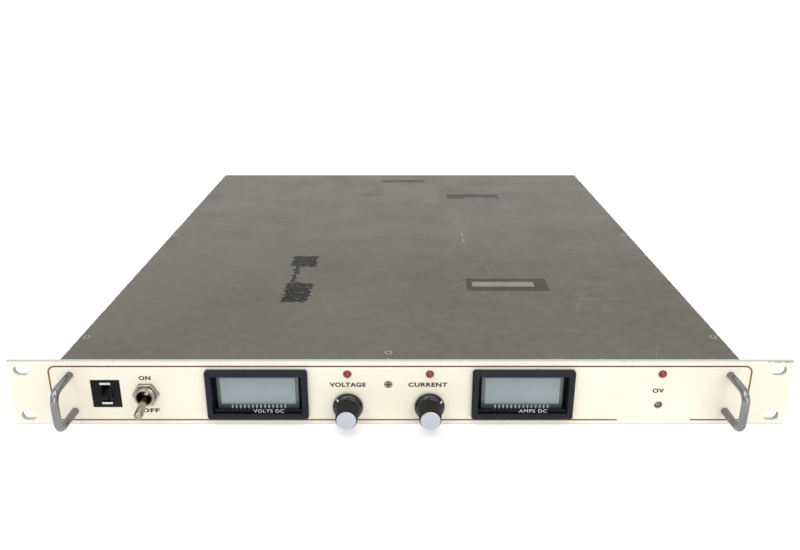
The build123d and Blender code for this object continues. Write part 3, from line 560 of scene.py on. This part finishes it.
def handle_rod(name, x):
    # One rod bent twice: straight, bend, straight, bend, straight, with closed feet
    reach = face_y - low("handles").y
    rod = high("handles").x - handle_x
    foot = low("handles").z + rod
    head = high("handles").z - rod
    bend = 6.5
    bend_steps = 14
    bm = bmesh.new()
    made = bmesh.ops.create_circle(
        bm, cap_ends=True, segments=32, radius=rod, matrix=Matrix.Translation((0, foot, 0))
    )
    ring = list({e for v in made["verts"] for e in v.link_edges if len(e.link_faces) == 1})

    def grow(edges, step):
        made = bmesh.ops.extrude_edge_only(bm, edges=edges)["geom"]
        verts = [g for g in made if isinstance(g, bmesh.types.BMVert)]
        bmesh.ops.translate(bm, verts=verts, vec=step)
        new_edges = [g for g in made if isinstance(g, bmesh.types.BMEdge)]
        return [e for e in new_edges if all(v in verts for v in e.verts)]

    def turn(edges, centre, angle):
        verts = list({v for e in edges for v in e.verts})
        made = bmesh.ops.spin(
            bm, geom=verts + edges, cent=centre, axis=(1, 0, 0), angle=angle,
            steps=bend_steps,
        )["geom_last"]
        return [g for g in made if isinstance(g, bmesh.types.BMEdge)]

    out = reach - rod
    ring = grow(ring, (0, 0, out - bend))
    ring = turn(ring, (0, foot + bend, out - bend), -pi / 2)
    ring = grow(ring, (0, head - foot - 2 * bend, 0))
    ring = turn(ring, (0, head - bend, out - bend), -pi / 2)
    ring = grow(ring, (0, 0, bend - out))
    bmesh.ops.contextual_create(bm, geom=ring)
    bmesh.ops.remove_doubles(bm, verts=bm.verts[:], dist=1e-4)
    seat(bm, OUT_OF_FRONT, x, face_y, 0)
    return close_piece(name, bm, "chrome", "chassis", ("handles",))


handle_rod("left_handle_rod", -handle_x)
handle_rod("right_handle_rod", handle_x)


def countersunk_screws():
    # Six along the cover's sides, one behind the middle of its front edge, and one in the panel
    inset, first_row, row_pitch, middle_row = 4.5, 31.0, 205.0, 9.7
    radius, head_height = 2.65, cover_top + 0.08
    side_x = cover_side - inset
    middle_x = middle("panel_screw").x
    places = [(side * side_x, first_row + row_pitch * n) for side in (-1, 1) for n in range(3)]
    heads, recess_shades = bmesh.new(), bmesh.new()
    for x, behind in (*places, (middle_x, middle_row)):
        cross_head(
            heads, recess_shades, x, cover_front + behind, head_height, radius, Matrix.Identity(4)
        )
    close_piece("cover_screw_heads", heads, "screw", "chassis", ("cover_screws",))
    # The dark crosses are painted shade for the recesses
    close_piece("cover_screw_painted_recess_shade", recess_shades, "recess", "chassis")
    heads, recess_shades = bmesh.new(), bmesh.new()
    cross_head(heads, recess_shades, middle_x, face_y, middle("panel_screw").z, radius, OUT_OF_FRONT)
    close_piece(
        "panel_screw_head", heads, "panel_screw", "chassis",
        ("panel_screw",),
    )
    close_piece("panel_screw_painted_recess_shade", recess_shades, "recess", "chassis")


countersunk_screws()


def border_line():
    # The printed line round the panel: a rounded frame with a gap in its lower run
    half_width, bottom, top, line, corner = 216.4, 2.3, 41.0, 1.0, 4.8
    gap_start, gap_end = 136.3, 182.2
    bm = bmesh.new()
    bmesh.ops.create_grid(bm, x_segments=1, y_segments=1, size=0.5)
    bmesh.ops.scale(bm, vec=(2 * half_width, top - bottom, 1), verts=bm.verts[:])
    bmesh.ops.bevel(
        bm, geom=bm.verts[:], offset=corner, segments=8, affect="VERTICES", profile=0.5,
        material=-1,
    )
    inner = bm.faces[:]
    bmesh.ops.inset_individual(bm, faces=inner, thickness=line)
    bmesh.ops.delete(bm, geom=inner, context="FACES")
    for x in (gap_start, gap_end):
        bmesh.ops.bisect_plane(
            bm, geom=bm.verts[:] + bm.edges[:] + bm.faces[:], plane_co=(x, 0, 0), plane_no=(1, 0, 0)
        )
    middles = {f: f.calc_center_median() for f in bm.faces}
    gap = [f for f, at in middles.items() if gap_start < at.x < gap_end and at.y < 0]
    bmesh.ops.delete(bm, geom=gap, context="FACES")
    bmesh.ops.recalc_face_normals(bm, faces=bm.faces[:])
    bmesh.ops.solidify(bm, geom=bm.faces[:], thickness=ink)
    lowest = min(v.co.z for v in bm.verts)
    move(bm, Matrix.Translation((0, 0, -lowest)))
    seat(bm, OUT_OF_FRONT, 0, face_y, (bottom + top) / 2)
    close_piece("panel_border_line", bm, "brown_print", "chassis")


border_line()
for name, text, x, z, height, width in (
    ("word_on", "ON", -157.3, 32.4, 2.9, 7.4),
    ("word_off", "OFF", -155.9, 9.6, 2.9, 11.4),
    ("word_voltage", "VOLTAGE", -32.3, 27.8, 3.1, 22.5),
    ("word_current", "CURRENT", 17.2, 27.8, 3.1, 24.2),
    ("word_trip", "OV", 160.0, 23.6, 3.1, 7.2),
):
    lettering(name, text, "dark_print", height, width, OUT_OF_FRONT, x, face_y, z)


def knob(name, index_turn):
    # A polished skirt under a serrated tapering grip, with a spun cap and an index mark
    # on one body; the index mark is turned from the top, in degrees to the right
    at = middle(name)
    base_y = high(name).y
    height = base_y - low(name).y
    skirt_radius = (high(name).x - low(name).x) / 2
    bore = 3.3
    skirt = turned((
        (bore, 0.0), (skirt_radius - 0.3, 0.0), (skirt_radius, 0.3), (skirt_radius, 0.9),
        (skirt_radius - 0.15, 1.5), (skirt_radius - 0.5, 2.2), (skirt_radius - 1.0, 2.9),
        (skirt_radius - 1.6, 3.5), (skirt_radius - 2.3, 4.0), (bore, 4.1), (bore, 0.0),
    ), 96)
    seat(skirt, OUT_OF_FRONT, at.x, base_y, at.z)
    close_piece(f"{name}_skirt", skirt, "skirt", name, (name,), 50)
    # The grip grows from a fluted ring, step by step, as pairs of a rise and a narrowing
    grip = bmesh.new()
    flutes, grip_radius, grip_foot, flute_share = 48, 7.55, 2.7, 0.948
    made = bmesh.ops.create_circle(grip, cap_ends=True, segments=4 * flutes, radius=grip_radius)
    hollow = [v for n, v in enumerate(made["verts"]) if n % 4 < 2]
    bmesh.ops.scale(grip, vec=(flute_share, flute_share, 1), verts=hollow)
    move(grip, Matrix.Translation((0, 0, grip_foot)))
    for rise, shrink in ((0.7, 0.985), (11.2, 0.905), (0.6, 0.97), (0.35, 0.95)):
        top = [f for f in grip.faces if len(f.verts) > 4]
        if len(top) > 1:
            top = [max(top, key=lambda f: f.calc_center_median().z)]
        made = bmesh.ops.extrude_face_region(grip, geom=top)["geom"]
        verts = [g for g in made if isinstance(g, bmesh.types.BMVert)]
        bmesh.ops.translate(grip, verts=verts, vec=(0, 0, rise))
        bmesh.ops.scale(grip, vec=(shrink, shrink, 1), verts=verts)
        bmesh.ops.delete(grip, geom=[f for f in top if f.is_valid], context="FACES_ONLY")
    seat(grip, OUT_OF_FRONT, at.x, base_y, at.z)
    close_piece(f"{name}_grip", grip, "grip", name, (), 25)
    cap_radius = 6.0
    cap = turned((
        (0, 0), (cap_radius - 0.05, 0), (cap_radius, 0.1), (cap_radius, 0.35),
        (cap_radius - 0.15, 0.52), (cap_radius - 0.4, 0.6), (0, 0.55),
    ), 96)
    seat(cap, OUT_OF_FRONT, at.x, base_y - height, at.z)
    close_piece(f"{name}_spun_cap", cap, "cap", name, (f"{name}_cap",), 40)
    # The index mark lies on the skirt's slope
    index = bmesh.new()
    index_size, index_inset, index_rise, slope = (1.0, 1.9, 0.3), 0.95, 2.75, radians(-45)
    block(index, index_size, (0, 0, 0), 0.1)
    move(index, Matrix.Translation((0, skirt_radius - index_inset, index_rise))
         @ Matrix.Rotation(slope, 4, "X"))
    move(index, Matrix.Rotation(radians(-index_turn), 4, "Z"))
    seat(index, OUT_OF_FRONT, at.x, base_y, at.z)
    close_piece(f"{name}_index_mark", index, "print", name)


knob("voltage_knob", -46)
knob("current_knob", 56)


def toggle_switch():
    # Threaded bushing, nut, and the bat lever with the ball that it turns on
    at = middle("toggle_bushing")
    radius = (high("toggle_bushing").x - low("toggle_bushing").x) / 2
    proud = face_y - low("toggle_bushing").y
    bore, foot, height, pitch, groove, crest = 4.6, -3.0, 2.6, 0.75, 0.4, 0.1
    thread = [(bore, foot), (radius, foot), (radius, height)]
    while height + pitch < proud - 0.3:
        thread += [
            (radius, height + crest), (radius - groove, height + pitch / 2),
            (radius, height + pitch - crest),
        ]
        height += pitch
    thread += [
        (radius, proud - 0.4), (radius - 0.4, proud), (bore + 0.3, proud), (bore, proud - 0.3),
        (bore, foot),
    ]
    bushing = turned(thread)
    seat(bushing, OUT_OF_FRONT, at.x, face_y, at.z)
    close_piece("toggle_threaded_bushing", bushing, "nickel", "chassis",
                ("toggle_bushing",))
    dressed("toggle_nut", "nickel", 0.35, "chassis", 3)
    tilt = radians(15)
    lever = turned((
        (0, -1.1), (3.95, -1.1), (3.95, 0.3), (3.75, 1.2), (3.2, 2.1), (2.3, 2.9), (1.9, 3.5),
        (1.95, 4.5), (2.45, 13.0), (2.72, 17.6), (2.72, 18.9), (2.5, 19.8), (1.9, 20.5),
        (1.0, 20.8), (0, 20.8),
    ), 48)
    turned_down = OUT_OF_FRONT @ Matrix.Rotation(tilt, 4, "X")
    seat(lever, turned_down, *pivot("toggle_throw"))
    close_piece("toggle_bat_lever", lever, "bat", "toggle_lever", ("toggle_lever",))


toggle_switch()


def breaker():
    # The moulded face with its pocket, handle guards, sunk handle and two printed bars
    dressed("breaker_body", "breaker", 0.25, "chassis")
    dressed("breaker_handle", "holder", 0.3, "breaker_handle", 3)
    at = middle("breaker_body")
    bars = bmesh.new()
    bar_width, bar_height, bar_ink, face_proud = 6.6, 1.4, 0.06, 0.2
    for rise in (7.0, -6.6):
        block(bars, (bar_width, bar_height, bar_ink), (0, rise, bar_ink / 2))
    seat(bars, OUT_OF_FRONT, at.x, face_y - face_proud, at.z)
    close_piece("breaker_printed_bars", bars, "print", "chassis")


breaker()


def meter(name, word, word_width):
    # Bezel, display glass with its lighter field, and the legend strip with its words
    field_size, field_rise, word_height, word_shift = (46.3, 18.0, 0.06), 0.4, 2.3, 6.7
    dressed(f"{name}_meter_bezel", "bezel", 0.3, "chassis", 3)
    dressed(f"{name}_meter_lcd", "glass", 0.15, "chassis")
    lcd_front = low(f"{name}_meter_lcd").y
    at = middle(f"{name}_meter_lcd")
    area = bmesh.new()
    block(area, field_size, (0, field_rise, field_size[2] / 2), 0.02, 1)
    seat(area, OUT_OF_FRONT, at.x, lcd_front, at.z)
    close_piece(f"{name}_display_area", area, "active", "chassis")
    dressed(f"{name}_meter_legend", "legend", 0.12, "chassis")
    legend_front = low(f"{name}_meter_legend").y
    lettering(
        f"{name}_meter_word", word, "print", word_height, word_width, OUT_OF_FRONT,
        at.x + word_shift, legend_front, middle(f"{name}_meter_legend").z, 0.0,
    )


meter("voltage", "VOLTS DC", 18.9)
meter("current", "AMPS DC", 17.6)


def lamps():
    # Three lenses with a flat rim, a dome and a painted highlight at its tip, and their legs behind
    lenses = bmesh.new()
    highlight_spots = bmesh.new()
    leg_width, leg_length, leg_start, leg_offset = 0.5, 15.0, 3.7, 1.27
    lens_radius = 2.5
    last_x = high("indicator_leds").x - lens_radius
    for x in (middle("voltage_knob").x, middle("current_knob").x, last_x):
        lens = turned((
            (0, -4.1), (2.45, -4.1), (2.45, 0.5), (2.3, 0.72), (2.05, 0.78), (1.95, 1.0),
            (1.6, 1.55), (1.1, 1.85), (0.5, 1.98), (0, 2.0),
        ), 40)
        # A small bright disc that pokes just out of the dome's tip: a painted highlight
        highlight_spot = turned(((0, 1.6), (0.55, 1.9), (0.45, 2.0), (0, 2.02)), 20)
        for source, target in ((lens, lenses), (highlight_spot, highlight_spots)):
            seat(source, OUT_OF_FRONT, x, face_y, lamp_z)
            take_in(target, source)
        for side in (-leg_offset, leg_offset):
            leg = bmesh.new()
            block(leg, (leg_width, leg_width, leg_length), (side, 0, -leg_start - leg_length / 2))
            seat(leg, OUT_OF_FRONT, x, face_y, lamp_z)
            take_in(lenses, leg)
    close_piece("lamp_lenses", lenses, "lens", "chassis", ("indicator_leds",), 50)
    close_piece("lamp_painted_highlights", highlight_spots, "lamp_painted_highlight", "chassis")


lamps()
dressed("trimmer_shaft", "nickel", 0.12, "trimmer_shaft")

# Rear connections
dressed("negative_bus_bar", "copper", 0.35, "chassis")
dressed("positive_bus_bar", "copper", 0.35, "chassis")
dressed("bus_insulator", "laminate", 0.25, "chassis")
dressed("line_terminal_block", "holder", 0.3, "chassis")
dressed("line_terminal_screws", "screw", 0.2, "chassis")
dressed("sense_connector", "holder", 0.25, "chassis")
dressed("left_fan_rotor", "fan", 0.15, "left_fan_rotor", 1)
dressed("right_fan_rotor", "fan", 0.15, "right_fan_rotor", 1)


def ground_stud():
    # A hexagonal foot against the sheet, and the threaded stud that stands out of it
    at = middle("ground_stud")
    foot_radius, foot_height, foot_edge = 4.6, 3.2, 0.35
    foot = bmesh.new()
    bmesh.ops.create_circle(foot, cap_ends=True, segments=6, radius=foot_radius)
    made = bmesh.ops.extrude_face_region(foot, geom=foot.faces[:])["geom"]
    raised = [g for g in made if isinstance(g, bmesh.types.BMVert)]
    bmesh.ops.translate(foot, vec=(0, 0, foot_height), verts=raised)
    bmesh.ops.bevel(
        foot, geom=foot.edges[:], offset=foot_edge, segments=2, affect="EDGES", profile=0.5,
        material=-1,
    )
    seat(foot, OUT_OF_REAR, at.x, rear_y, at.z)
    close_piece("ground_stud_foot", foot, "brass", "chassis")
    radius, groove, pitch, thread_end, tip = 2.4, 0.35, 0.7, 13.0, 14.0
    start, height = 3.0, 3.8
    thread = [(0, start), (radius, start), (radius, height)]
    while height < thread_end:
        thread += [
            (radius, height), (radius - groove, height + pitch / 2), (radius, height + pitch)
        ]
        height += pitch
    thread += [(radius, tip - 0.5), (radius - 0.5, tip), (0, tip)]
    stud = turned(thread, 40)
    seat(stud, OUT_OF_REAR, at.x, rear_y, at.z)
    close_piece("ground_stud_thread", stud, "brass", "chassis", ("ground_stud",))


ground_stud()


def rear_fasteners():
    # Slotted pan heads that hold the fans and the rear sheet
    fans = [pivot(f"{side}_fan_spin") for side in ("left", "right")]
    hole_offset, sheet_x, sheet_rows = 16, 203, (8, 34)
    slot_size, slot_height = (3.2, 0.7, 0.3), 1.62
    corners = [(sx, sz) for sx in (-1, 1) for sz in (-1, 1)]
    places = [(at.x + sx * hole_offset, at.z + sz * hole_offset) for at in fans for sx, sz in corners]
    places += [(side * sheet_x, z) for side in (-1, 1) for z in sheet_rows]
    heads = bmesh.new()
    for x, z in places:
        head = turned(((0, 0), (2.6, 0), (2.6, 0.5), (2.2, 1.2), (1.4, 1.6), (0, 1.7)), 28)
        block(head, slot_size, (0, 0, slot_height))
        seat(head, OUT_OF_REAR, x, rear_y, z)
        take_in(heads, head)
    close_piece("rear_pan_heads", heads, "screw", "chassis")


rear_fasteners()


def seen_directly(tree):
    # 1 for what the camera sees, straight or in metal and glass
    path = add_node(tree, "ShaderNodeLightPath")
    seen = combine(tree, "MAXIMUM", path.outputs["Is Camera Ray"], path.outputs["Is Glossy Ray"])
    return combine(tree, "MAXIMUM", seen, path.outputs["Is Transmission Ray"])


def stage_and_light():
    # A pale floor that fades into a white surround, three large soft lamps, one of them behind the
    # object, and three narrow tubes overhead whose bright lines the polished pieces mirror
    near_glow, near, far = 0.36, 0.6, 1.5
    floor_half, floor_drop = 20, 0.0005
    floor_bm = bmesh.new()
    bmesh.ops.create_grid(floor_bm, x_segments=1, y_segments=1, size=floor_half)
    move(floor_bm, Matrix.Translation((0, 0, -floor_drop)))
    mesh = bpy.data.meshes.new("studio_floor")
    floor_bm.to_mesh(mesh)
    floor_bm.free()
    floor = bpy.data.objects.new("studio_floor", mesh)
    bpy.context.scene.collection.objects.link(floor)
    material = bpy.data.materials.new("white_floor")
    material.use_nodes = True
    tree = material.node_tree
    tree.nodes.clear()
    # White again far off, where no shadow falls, so that it meets the surround without an edge
    place = add_node(tree, "ShaderNodeTexCoord").outputs["Object"]
    reach = add_node(tree, "ShaderNodeVectorMath", {0: place}, operation="LENGTH").outputs["Value"]
    glow = span(tree, reach, near, far, near_glow, 1.0)
    glow = combine(tree, "MULTIPLY", glow, seen_directly(tree))
    paint = add_node(
        tree, "ShaderNodeBsdfPrincipled",
        {"Base Color": linear("#f4f4f4"), "Roughness": 0.9, "Emission Color": (1, 1, 1, 1),
         "Emission Strength": glow},
    )
    add_node(tree, "ShaderNodeOutputMaterial", {"Surface": paint.outputs[0]})
    mesh.materials.append(material)
    world = bpy.data.worlds.new("studio_surround")
    bpy.context.scene.world = world
    world.use_nodes = True
    tree = world.node_tree
    tree.nodes.clear()
    strength = span(tree, seen_directly(tree), 0, 1, 0.55, 1.0)
    surround = add_node(tree, "ShaderNodeBackground", {"Color": (1, 1, 1, 1), "Strength": strength})
    add_node(tree, "ShaderNodeOutputWorld", {"Surface": surround.outputs[0]})
    for name, place, width, length, power in (
        ("key_light", (-0.9, -1.1, 1.7), 1.4, 1.4, 8),
        ("front_fill", (0.7, -1.9, 0.7), 1.2, 1.2, 9),
        ("top_light", (0.3, 0.9, 1.9), 1.6, 1.6, 5),
        ("left_tube", (-0.5, -0.7, 1.7), 0.09, 1.2, 3.5),
        ("middle_tube", (0.3, -0.7, 1.7), 0.09, 1.2, 3.5),
        ("right_tube", (0.9, -0.7, 1.6), 0.09, 1.2, 3.5),
    ):
        lamp = bpy.data.lights.new(name, "AREA")
        lamp.shape = "RECTANGLE"
        lamp.size = width
        lamp.size_y = length
        lamp.energy = power
        holder = bpy.data.objects.new(name, lamp)
        holder.location = place
        aim = Vector((0, -0.05, 0.02)) - Vector(place)
        holder.rotation_euler = aim.to_track_quat("-Z", "Y").to_euler()
        bpy.context.scene.collection.objects.link(holder)


stage_and_light()


def camera():
    # Level enough to show the panel square, high enough for the whole cover
    pitch = radians(19.0)
    front_edge_depth = 0.4536
    shift = -0.05
    picture_width, middle_row, cover_edge_row = 800, 275, 360
    camera_data = bpy.data.cameras.new("photo_camera")
    camera_data.sensor_width = 36
    camera_data.lens = 33.2
    camera_data.shift_y = shift
    camera_data.clip_start = 0.01
    holder = bpy.data.objects.new("photo_camera", camera_data)
    bpy.context.scene.collection.objects.link(holder)
    bpy.context.scene.camera = holder
    forward = Vector((0, cos(pitch), -sin(pitch)))
    up = Vector((0, sin(pitch), cos(pitch)))
    edge = Vector((0, cover_front * MM, cover_top * MM))
    focal = camera_data.lens / camera_data.sensor_width * picture_width
    rows_down = cover_edge_row - middle_row - shift * picture_width
    rise = rows_down / focal * front_edge_depth
    holder.location = edge - forward * front_edge_depth + up * rise
    holder.location.x = 0.0
    holder.rotation_euler = (pi / 2 - pitch, 0, 0)
    bpy.context.scene.view_settings.view_transform = "Standard"


camera()
